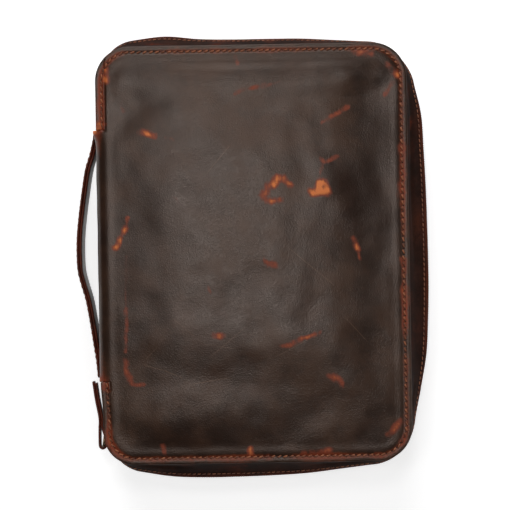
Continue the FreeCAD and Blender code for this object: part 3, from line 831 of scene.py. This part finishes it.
random.seed(7)
for name, front in halves:
    up = Vector((0, 0, 1 if front else -1))
    thick = (0.55 if front else 0.3) * MM  # the back's thread is worn flat
    sewn = list(saddle_stitches(name + "_panel_stitches", panel_seam(front), lambda place: up,
                                stitch_pitch, thick))
    if not front:
        for vertex in [vertex for piece in sewn for vertex in piece.data.vertices]:
            vertex.co.z = max(vertex.co.z, 0.0)
    sewn += saddle_stitches(name + "_zip_stitches", zip_seam(front), gusset_side(front),
                            3.2 * MM, 0.32 * MM, slant=10, hole=0.4 * MM)
    for piece in sewn:
        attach(piece, name + "_half")

# ---- Zip --------------------------------------------------------------------------------------
# A nylon coil zip, size 5: each tape of woven polyester is sewn in behind the gusset's turned edge
# and carries a coil sewn along its own edge. The two coils interlock at the case's middle height.
tape_thickness = 0.8 * MM
tape_end_z = 21 * MM
coil_z = 22.55 * MM
coil_r = 1.25 * MM
coil_wire = 0.3 * MM
coil_pitch = 1.5 * MM
core_r = 0.75 * MM
coil_start = 84 * MM

cloth = Finish("zip_tape", Roughness=0.85, Specular_IOR_Level=0.25, Sheen_Weight=0.3)
ribs = cloth.waves(cloth.place(), "Z", 620.0)
rows = cloth.waves(cloth.place(), "X", 480.0)
woven = cloth.colour(shade(0.010, 0.006, 0.0045), shade(0.026, 0.015, 0.011), ribs * 0.6 + rows * 0.3)
cloth.put(Base_Color=woven, Normal=cloth.relief(ribs + rows * 0.6, 0.5, 0.0002))
nylon = Finish("zip_nylon", Roughness=0.38)
dusty = nylon.speckle(nylon.place(), 180.0)
nylon.put(Base_Color=nylon.colour(shade(0.014, 0.008, 0.006), shade(0.05, 0.026, 0.017),
                                  dusty.step(0.42, 0.66)))


def tape_line(out):
    """The tape's middle behind the zip edge, and the direction it leaves in."""
    (u0, z0), (u1, z1) = (-seam_in + knee_lean * (out + seam_in), knee_z), (out, lip_z)
    run = math.hypot(u1 - u0, z1 - z0)
    ahead = ((u1 - u0) / run, (z1 - z0) / run)
    behind = gusset_thickness + 0.1 * MM + tape_thickness / 2
    return (u1 - ahead[1] * behind, z1 + ahead[0] * behind), ahead


def zip_out(out):
    """How far the zip's own line stands out from the panel's edge."""
    middle, ahead = tape_line(out)
    return middle[0] + 0.5 * ahead[0] / ahead[1] * (tape_end_z - middle[1])


def zip_tape(name, front):
    points = []
    line = cutting_line(2.4 * MM)
    for x, y, out_x, out_y, run in line:
        middle, ahead = tape_line(bulge(run))
        end = (zip_out(bulge(run)), tape_end_z + 0.5 * MM)
        section = [(middle[0] - ahead[0] * 4 * MM, middle[1] - ahead[1] * 4 * MM), middle,
                   ((middle[0] + end[0]) / 2 + 0.15 * MM, (middle[1] + end[1]) / 2), end]
        points += [Vector((x + out_x * u, y + out_y * u, z)) for u, z in section]
    faces = strip_faces(len(line), 4, front)
    piece = make_piece(name, flipped(points, front), faces, cloth.material)
    return add(piece, "SOLIDIFY", thickness=tape_thickness, offset=0.0)


def tube(name, middles, radius, sides, material):
    """A round wire along a line of points."""
    points = []
    side = Vector((0, 0, 1))
    for i, middle in enumerate(middles):
        ahead = (middles[min(i + 1, len(middles) - 1)] - middles[max(i - 1, 0)]).normalized()
        side = (side - ahead * side.dot(ahead)).normalized()
        other = ahead.cross(side)
        for k in range(sides):
            turn = 2 * math.pi * k / sides
            points.append(middle + (side * math.cos(turn) + other * math.sin(turn)) * radius)
    return make_piece(name, points, sleeve(0, len(middles), sides), material)


def zip_line():
    """(middle, outward) places along the back half's coil, between its end stops."""
    places = []
    for x, y, out_x, out_y, run in cutting_line(0.5 * MM):
        if run > coil_start - spine_half and run < edge_length - coil_start + spine_half:
            u = zip_out(bulge(run))
            places.append((Vector((x + out_x * u, y + out_y * u, coil_z)), Vector((out_x, out_y, 0))))
    return places


def coil(name, front):
    places = zip_line()
    steps = 9
    walked, turned, middles = 0.0, (0.5 if front else 0.0), []
    last = places[0][0]
    wanted = 0.0
    for middle, outward in places:
        walked += (middle - last).length
        last = middle
        while wanted <= walked:
            turn = 2 * math.pi * (wanted / coil_pitch + turned)
            climb = Vector((0, 0, math.sin(turn) * coil_r))
            middles.append(middle + outward * (math.cos(turn) * coil_r) + climb)
            wanted += coil_pitch / steps
    return tube(name, flipped(middles, front), coil_wire, 5, nylon.material)


for name, front in halves:
    tape = zip_tape(name + "_tape_cloth", front)
    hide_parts(name + "_zip_tape")
    teeth = coil(name + "_zip_coil", front)
    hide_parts(name + "_zip_teeth")
    core = [middle for middle, outward in zip_line()[::6]]
    cord = tube(name + "_coil_core", flipped(core, front), core_r, 6, cloth.material)
    for piece in (tape, teeth, cord):
        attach(piece, name + "_half")

# ---- Zip slider, its ring and the leather pull ------------------------------------------------
# The slider is die-cast and brass plated, the plating worn dull. A long wire ring hangs in its
# bridge, and a strip of the case's leather is folded round the ring's bar and glued to itself.
brass = Finish("worn_brass", Metallic=1.0, Roughness=0.34)
tarnish = brass.speckle(brass.fixed_place(), 320.0, 4.0)
worn_plating = brass.colour(shade(0.42, 0.29, 0.14), shade(0.13, 0.085, 0.045), tarnish.step(0.40, 0.62))
brass.put(Base_Color=worn_plating, Roughness=0.30 + tarnish * 0.25)


def dress(node, finish):
    """Gives a piece that is used as it was made its finish."""
    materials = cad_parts[node].data.materials
    materials.clear()
    materials.append(finish.material)


for node in ("zip_slider_body", "zip_slider_bridge", "front_zip_stops", "back_zip_stops"):
    dress(node, brass)

strap_hide = waxed_hide(
    "strap_hide", dark=shade(0.014, 0.0062, 0.0045), warm=shade(0.034, 0.012, 0.008),
    rubbed=shade(0.105, 0.020, 0.009), bare=shade(0.30, 0.065, 0.020), gloss=0.38, grain=0.9, shine=0.26)


def curved(knots, step):
    """Evenly spaced points on a smooth curve through the knots."""
    fine = []
    for k in range(len(knots) - 1):
        p0, p1, p2, p3 = (knots[min(max(k + d, 0), len(knots) - 1)] for d in (-1, 0, 1, 2))
        for i in range(20):
            t = i / 20
            fine.append(0.5 * (2 * p1 + (p2 - p0) * t + (2 * p0 - 5 * p1 + 4 * p2 - p3) * t * t
                               + (3 * p1 - p0 - 3 * p2 + p3) * t ** 3))
    fine.append(knots[-1])
    return [place for place, ahead in spaced(fine, step)]


def leather_strip(name, middles, width, thickness, material, wear=0.2, scuff=0.0):
    """A strip with burnished edges that follows a line seen from above. width(share) is its width."""
    corner = 0.28 * thickness
    half_t = thickness / 2
    points, marks, scuffs = [], [], []
    across = (-1.0, -0.6, 0.0, 0.6, 1.0)
    section = [(half_t, w) for w in across] + [(0.0, 2.0)]
    section += [(-half_t, w) for w in across[::-1]] + [(0.0, -2.0)]
    last = len(middles) - 1
    for i, middle in enumerate(middles):
        ahead = (middles[min(i + 1, last)] - middles[max(i - 1, 0)]).normalized()
        outward = Vector((ahead.y, -ahead.x, 0.0))
        half = width(i / last) / 2
        for out, w in section:
            edge = abs(w) == 2.0
            z = math.copysign(half, w) if edge else w * (half - corner)
            points.append(middle + outward * (0.0 if edge else out) + Vector((0, 0, z)))
            marks.append(wear + (0.35 if abs(w) >= 1.0 else 0.0))
            scuffs.append(scuff * (1.0 if abs(w) >= 1.0 else 0.25))
    faces = sleeve(0, len(middles), len(section), turned=True)
    piece = make_piece(name, points, faces, material, {"wear": marks, "scuff": scuffs})
    return add(piece, "SUBSURF", levels=1)


ring_low, ring_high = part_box("zip_pull_ring")
pull_low, pull_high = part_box("zip_pull_strap")
ring_wire = 0.6 * MM
pull_thickness = 1.6 * MM
pull_width = 8 * MM
bar_y = ring_low[1] + ring_wire
bar_x = ring_low[0] + ring_wire
hang_x = ring_high[0] - ring_wire
hang_y = ring_high[1] - ring_wire
ring_half = (ring_high[2] - ring_low[2]) / 2 - ring_wire


def wire_ring():
    corner = 1.6 * MM
    corners = [Vector((hang_x, hang_y, mid_z + ring_half)), Vector((bar_x, bar_y, mid_z + ring_half)),
               Vector((bar_x, bar_y, mid_z - ring_half)), Vector((hang_x, hang_y, mid_z - ring_half))]
    line = []
    for i, here in enumerate(corners):
        start = here + (corners[i - 1] - here).normalized() * corner
        end = here + (corners[(i + 1) % 4] - here).normalized() * corner
        for k in range(7):
            t = k / 6
            line.append(start * (1 - t) ** 2 + here * (2 * t * (1 - t)) + end * t * t)
    line.append(line[0].copy())
    return tube("pull_ring_wire", line, ring_wire, 10, brass.material)


ring = wire_ring()
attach(ring, "zip_ring")
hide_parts("zip_pull_ring")

pull_top_y = pull_high[1]
pull_top_x = pull_low[0] + pull_thickness + 0.8 * MM
bridge_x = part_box("zip_slider_bridge")[0][0]
half_t = pull_thickness / 2
loop_out = bar_x - 2.5 * MM
loop_in = bar_x + 1.5 * MM
loop_end = pull_low[1] + half_t
pull_knots = [
    (pull_top_x - half_t, pull_top_y), (pull_top_x + 1.6 * MM - half_t, pull_top_y - 12 * MM),
    (bridge_x - 0.4 * MM - 3 * half_t, hang_y + 3 * MM), (bridge_x - 0.5 * MM - 3 * half_t, hang_y - 3 * MM),
    (loop_out, bar_y + 5 * MM), (loop_out + 0.1 * MM, bar_y), (loop_out + 0.8 * MM, loop_end + 0.6 * MM),
    (bar_x - 0.4 * MM, loop_end), (loop_in - 0.7 * MM, loop_end + 0.7 * MM), (loop_in, bar_y),
    (loop_in, bar_y + 5 * MM), (bridge_x - 0.35 * MM - half_t, hang_y - 3 * MM),
    (bridge_x - 0.35 * MM - half_t, hang_y + 3 * MM), (pull_top_x + 1.6 * MM + half_t, pull_top_y - 12 * MM),
    (pull_top_x + half_t + 0.1 * MM, pull_top_y - 1.0 * MM)]
pull = leather_strip("pull_leather_strip", curved([Vector((x, y, mid_z)) for x, y in pull_knots], 1.0 * MM),
                     lambda share: pull_width, pull_thickness, strap_hide, wear=0.35, scuff=0.35)
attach(pull, "zip_pull")
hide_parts("zip_pull_strap")

# ---- Carrying strap ---------------------------------------------------------------------------
# Two layers of the same hide, skived at the ends and sewn through both to the spine strip. Years
# of carrying have set it in an uneven bow, sharpest just below its middle.
strap_layer = 1.8 * MM
strap_width = 22 * MM
strap_length = 168 * MM
strap_knots = [
    (-100.3, 80.2), (-101.3, 74), (-103.3, 66), (-106.4, 55.8), (-108.9, 41), (-110.9, 27), (-112.3, 14),
    (-112.7, 3), (-112.2, -9), (-109.8, -19), (-107.3, -28), (-104.9, -42), (-102.9, -56), (-101.2, -68),
    (-100.2, -79.8),
]


def strap_line(offset):
    knots = [Vector((x * MM - offset, y * MM, mid_z)) for x, y in strap_knots]
    return curved(knots, 1.5 * MM)


def strap_taper(share):
    """Full width along the hand's length, and a little narrower where the strap leaves the spine."""
    from_end = min(share, 1 - share) * strap_length
    return strap_width - 3.0 * MM * hump(from_end - 17 * MM, 6 * MM)


for name, offset, node in (("strap_outer", strap_layer / 2, "strap_outer_layer"),
                           ("strap_inner", -strap_layer / 2 + 0.02 * MM, "strap_inner_layer")):
    piece = leather_strip(name + "_leather", strap_line(offset), strap_taper, strap_layer, strap_hide,
                          wear=0.28, scuff=0.35)
    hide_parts(node, "strap_upper_tab", "strap_lower_tab")
    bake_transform(piece)

random.seed(11)
for name, z in (("strap_front_stitches", mid_z + strap_width / 2 - 2.6 * MM),
                ("strap_back_stitches", mid_z - strap_width / 2 + 2.6 * MM)):
    seam = [Vector((p.x, p.y, z)) for p in strap_line(strap_layer - 0.32 * MM)]
    sewn = saddle_stitches(name, seam, lambda place: Vector((-1, 0, 0)), stitch_pitch, 0.30 * MM,
                           hole=0.5 * MM)
    for piece in sewn:
        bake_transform(piece)

# ---- Linings and pockets ----------------------------------------------------------------------
# Brown suede, glued flesh side out to the inside of the panels and the spine, and two flaps of
# thin leather sewn down on three sides that the book's boards slide under.
suede = Finish("suede_lining", Roughness=0.95, Sheen_Weight=0.5, Sheen_Roughness=0.6, Specular_IOR_Level=0.2)
spot = suede.fixed_place()
nap = suede.speckle(spot, 90.0, 4.0)
pile = suede.speckle(spot, 1400.0, 2.0)
brushed_suede = suede.colour(shade(0.095, 0.050, 0.028), shade(0.17, 0.095, 0.055), nap.step(0.35, 0.68))
suede.put(Base_Color=brushed_suede, Normal=suede.relief(pile, 0.5, 0.0003))
flap = Finish("pocket_leather", Roughness=0.55)
spot = flap.fixed_place()
flap_cloud = flap.speckle(spot, 40.0, 5.0)
flap_tone = flap.colour(shade(0.060, 0.026, 0.014), shade(0.12, 0.055, 0.030), flap_cloud.step(0.35, 0.7))
flap.put(Base_Color=flap_tone, Normal=flap.relief(flap.cells(spot, 900.0).step(0.0, 0.3), 0.3, 0.00015))
for node in ("front_lining", "back_lining", "spine_lining"):
    dress(node, suede)
for node in ("front_pocket", "back_pocket"):
    dress(node, flap)

# ---- The book ---------------------------------------------------------------------------------
# A sewn volume of thin paper: boards covered in black grained leather, a spine with raised bands,
# dull gilt page edges, worked end bands and a ribbon. Its back board sits in the case's pocket.
grained = Finish("binding_leather", Roughness=0.42)
spot = grained.place()
pebbles = grained.cells(spot, 1100.0)
bloom = grained.speckle(spot, 60.0, 4.0)
black_hide = grained.colour(shade(0.006, 0.005, 0.005), shade(0.018, 0.015, 0.014), bloom.step(0.35, 0.7))
grained.put(Base_Color=black_hide, Roughness=0.36 + bloom * 0.2,
            Normal=grained.relief(pebbles.step(0.0, 0.25), 0.5, 0.0002))
board_corner = 7 * MM


def board(name, node, corner):
    """A board in its leather: rounded fore corners, soft edges and a blind-tooled border line."""
    low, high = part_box(node)
    points, outline = [], []
    for cx, cy, first in ((high[0] - corner, high[1] - corner, 90), (high[0] - corner, low[1] + corner, 0)):
        for k in range(9):
            turn = math.radians(first - 90 * k / 8)
            outline.append((cx + corner * math.cos(turn), cy + corner * math.sin(turn)))
    outline += [(low[0], low[1]), (low[0], high[1])]
    centre = ((low[0] + high[0]) / 2, (low[1] + high[1]) / 2)

    def ring(inset, z):
        for x, y in outline:
            sx = (high[0] - low[0] - 2 * inset) / (high[0] - low[0])
            sy = (high[1] - low[1] - 2 * inset) / (high[1] - low[1])
            points.append(Vector((centre[0] + (x - centre[0]) * sx, centre[1] + (y - centre[1]) * sy, z)))

    edge = 0.45 * MM
    dip = 0.25 * MM
    top, tooled = high[2], high[2] - dip
    section = [(8.0 * MM, low[2]), (edge, low[2]), (0.0, low[2] + edge), (0.0, top - edge), (edge, top),
               (6.4 * MM, top), (6.8 * MM, tooled), (7.4 * MM, tooled), (7.8 * MM, top), (9.0 * MM, top)]
    for inset, z in section:
        ring(inset, z)
    faces = sleeve(0, len(section), len(outline), turned=True)
    piece = make_piece(name, points, faces, grained.material)
    for polygon in piece.data.polygons[-2:]:
        polygon.use_smooth = False
    return piece


front_board = board("book_front_board", "bible_front_board", board_corner)
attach(front_board, "bible_cover")
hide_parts("bible_front_board")
back_board = board("book_back_board", "bible_back_board", board_corner)
low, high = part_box("bible_back_board")
for vertex in back_board.data.vertices:
    vertex.co.z = low[2] + high[2] - vertex.co.z
back_board.data.flip_normals()
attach(back_board, "back_half")
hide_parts("bible_back_board")

spine_low, spine_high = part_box("bible_spine")
bands = (-0.078, -0.039, 0.0, 0.039, 0.078)


def book_back():
    """The book's spine, slightly rounded, with five raised bands over its sewing cords."""
    points = []
    columns, rows = 121, 13
    for i in range(columns):
        y = spine_low[1] + (spine_high[1] - spine_low[1]) * i / (columns - 1)
        raised = max(hump(y - band, 2.2 * MM) for band in bands)
        end = smooth((spine_high[1] - abs(y)) / (1.2 * MM))
        for k in range(rows):
            share = k / (rows - 1)
            z = spine_low[2] + (spine_high[2] - spine_low[2]) * share
            swell = (0.55 + 0.75 * raised) * math.sin(math.pi * share) ** 0.5 * MM
            points.append(Vector((spine_low[0] + 0.9 * MM - swell * end, y, z)))
    piece = make_piece("book_spine", points, strip_faces(columns, rows, True), grained.material)
    return add(piece, "SOLIDIFY", thickness=0.7 * MM, offset=-1.0)


back = book_back()
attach(back, "back_half")
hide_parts("bible_spine")

hinge_z = 0.0428
joint_points = []
joint_half = spine_high[1] - 1.5 * MM
joint_columns, joint_rows = 41, 9
for i in range(joint_columns):
    y = -joint_half + 2 * joint_half * i / (joint_columns - 1)
    for k in range(joint_rows):
        share = k / (joint_rows - 1)
        x = spine_low[0] + 0.35 * MM + 2.6 * MM * smooth(share * 1.1 - 0.15)
        z = spine_high[2] - 2.2 * MM + (hinge_z - 0.9 * MM - spine_high[2] + 2.2 * MM) * smooth(share * 1.6)
        joint_points.append(Vector((x + 0.5 * MM, y, z)))
joint_faces = strip_faces(joint_columns, joint_rows, True)
joint = make_piece("book_front_joint", joint_points, joint_faces, grained.material)
add(joint, "SOLIDIFY", thickness=0.35 * MM, offset=0.0)
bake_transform(joint)

paper = Finish("thin_paper", Roughness=0.7, Specular_IOR_Level=0.3)
tooth = paper.speckle(paper.place(), 700.0, 3.0)
aged = paper.speckle(paper.place(), 14.0, 3.0)
paper.put(Base_Color=paper.colour(shade(0.66, 0.58, 0.45), shade(0.60, 0.51, 0.37), aged.step(0.35, 0.85)),
          Normal=paper.relief(tooth, 0.25, 0.0001))
gilt = Finish("gilt_edges", Metallic=0.45, Roughness=0.42)
leaves = gilt.speckle(gilt.stretched(gilt.place(), (0.03, 0.03, 1.0)), 5200.0, 2.0, 0.5)
dulled = gilt.speckle(gilt.place(), 45.0, 4.0)
gilt.put(Base_Color=gilt.colour(shade(0.62, 0.44, 0.17), shade(0.42, 0.31, 0.17), dulled.step(0.35, 0.7)),
         Roughness=0.34 + dulled * 0.25, Normal=gilt.relief(leaves, 0.6, 0.0003))


def page_block():
    """The pages, rounded at the back, hollowed at the fore edge and with rounded fore corners."""
    low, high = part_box("bible_pages")
    corner = 5 * MM
    corner_steps = 9
    points = []
    levels = 17
    for level in range(levels):
        share = level / (levels - 1)
        arch = math.sin(math.pi * share)
        right = high[0] - 1.3 * MM * arch
        left = low[0] + 0.5 * MM * (1 - arch)
        z = low[2] + (high[2] - low[2]) * share
        for cy, first in ((high[1] - corner, 90), (low[1] + corner, 0)):
            for k in range(corner_steps):
                turn = math.radians(first - 90 * k / (corner_steps - 1))
                x = right - corner + corner * math.cos(turn)
                points.append(Vector((x, cy + corner * math.sin(turn), z)))
        points += [Vector((left, low[1], z)), Vector((left, high[1], z))]
    faces = sleeve(0, levels, 2 * corner_steps + 2, turned=True)
    piece = make_piece("page_block", points, faces, gilt.material)
    piece.data.materials.append(paper.material)
    for polygon in piece.data.polygons:
        flat = abs(polygon.normal.z) > 0.9
        polygon.material_index = 1 if flat or polygon.normal.x < -0.7 else 0
        polygon.use_smooth = False
    return piece


pages = page_block()
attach(pages, "back_half")
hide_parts("bible_pages")

end_paper = Finish("end_paper", Roughness=0.75)
spot = end_paper.fixed_place()
drift = end_paper.speckle(spot, 24.0, 4.0)
cream = end_paper.colour(shade(0.56, 0.49, 0.38), shade(0.50, 0.42, 0.31), drift.step(0.35, 0.8))
end_paper.put(Base_Color=cream, Normal=end_paper.relief(end_paper.speckle(spot, 900.0), 0.2, 0.0001))
silk = Finish("end_band_silk", Roughness=0.5, Sheen_Weight=0.4)
stripe = silk.waves(silk.fixed_place(), "Z", 210.0)
silk.put(Base_Color=silk.colour(shade(0.55, 0.36, 0.10), shade(0.70, 0.62, 0.46), stripe.step(0.45, 0.55)),
         Normal=silk.relief(stripe, 0.6, 0.0003))
satin = Finish("ribbon_satin", Roughness=0.35, Anisotropic=0.5)
weft = satin.waves(satin.fixed_place(), "Y", 800.0)
satin.put(Base_Color=satin.colour(shade(0.20, 0.012, 0.016), shade(0.30, 0.024, 0.026), weft),
          Normal=satin.relief(weft, 0.3, 0.0001))
dress("bible_front_endpaper", end_paper)
dress("bible_head_band", silk)
dress("bible_tail_band", silk)
dress("bible_ribbon", satin)

# ---- Floor, lights and camera -----------------------------------------------------------------
# The case lies flat on a plain pale table and is looked at from straight above, turned by one
# degree. Soft lamps stand over it and round it, the strongest beyond its head.
pale_table = Finish("pale_table", Base_Color=shade(0.88, 0.88, 0.88), Roughness=0.7,
                    Emission_Color=shade(1, 1, 1), Emission_Strength=0.55)
reach, table_z = 3, -0.4 * MM
table_corners = [(-reach, -reach, table_z), (reach, -reach, table_z), (reach, reach, table_z),
                 (-reach, reach, table_z)]
table_top = make_piece("table_top", table_corners, [[0, 1, 2, 3]], pale_table.material)


def lamp(name, place, aim, size, power):
    light = bpy.data.lights.new(name, "AREA")
    light.shape, light.size, light.energy = "DISK", size, power
    thing = bpy.data.objects.new(name, light)
    thing.location = place
    thing.rotation_euler = (Vector(aim) - Vector(place)).to_track_quat("-Z", "Y").to_euler()
    bpy.context.scene.collection.objects.link(thing)


lamp("overhead_lamp", (-0.06, 0.05, 2.3), (0, 0, 0.03), 0.45, 7.9)
lamp("spine_side_lamp", (-0.62, 0.22, 1.8), (0, 0, 0.03), 0.45, 2.2)
lamp("head_side_lamp", (-0.10, 0.74, 1.8), (0, 0, 0.03), 0.40, 3.3)
lamp("head_lamp", (-0.3, 1.6, 0.9), (0, 0.03, 0.03), 1.4, 20)
lamp("fore_edge_lamp", (1.5, -0.6, 1.1), (0, 0, 0.03), 0.8, 7)
sky = bpy.data.worlds.new("studio")
sky.use_nodes = True
sky.node_tree.nodes["Background"].inputs["Color"].default_value = shade(1.0, 1.0, 1.0)
sky.node_tree.nodes["Background"].inputs["Strength"].default_value = 0.05
bpy.context.scene.world = sky
bpy.context.scene.view_settings.view_transform = "Standard"

camera_height = 0.9
view_width = 0.324
camera = bpy.data.objects.new("camera", bpy.data.cameras.new("camera"))
camera.location = (0.00076, -0.00082, depth + camera_height)
camera.rotation_euler = (0.0, 0.0, math.radians(-1.0))
camera.data.lens = camera.data.sensor_width * camera_height / view_width
bpy.context.scene.collection.objects.link(camera)
bpy.context.scene.camera = camera
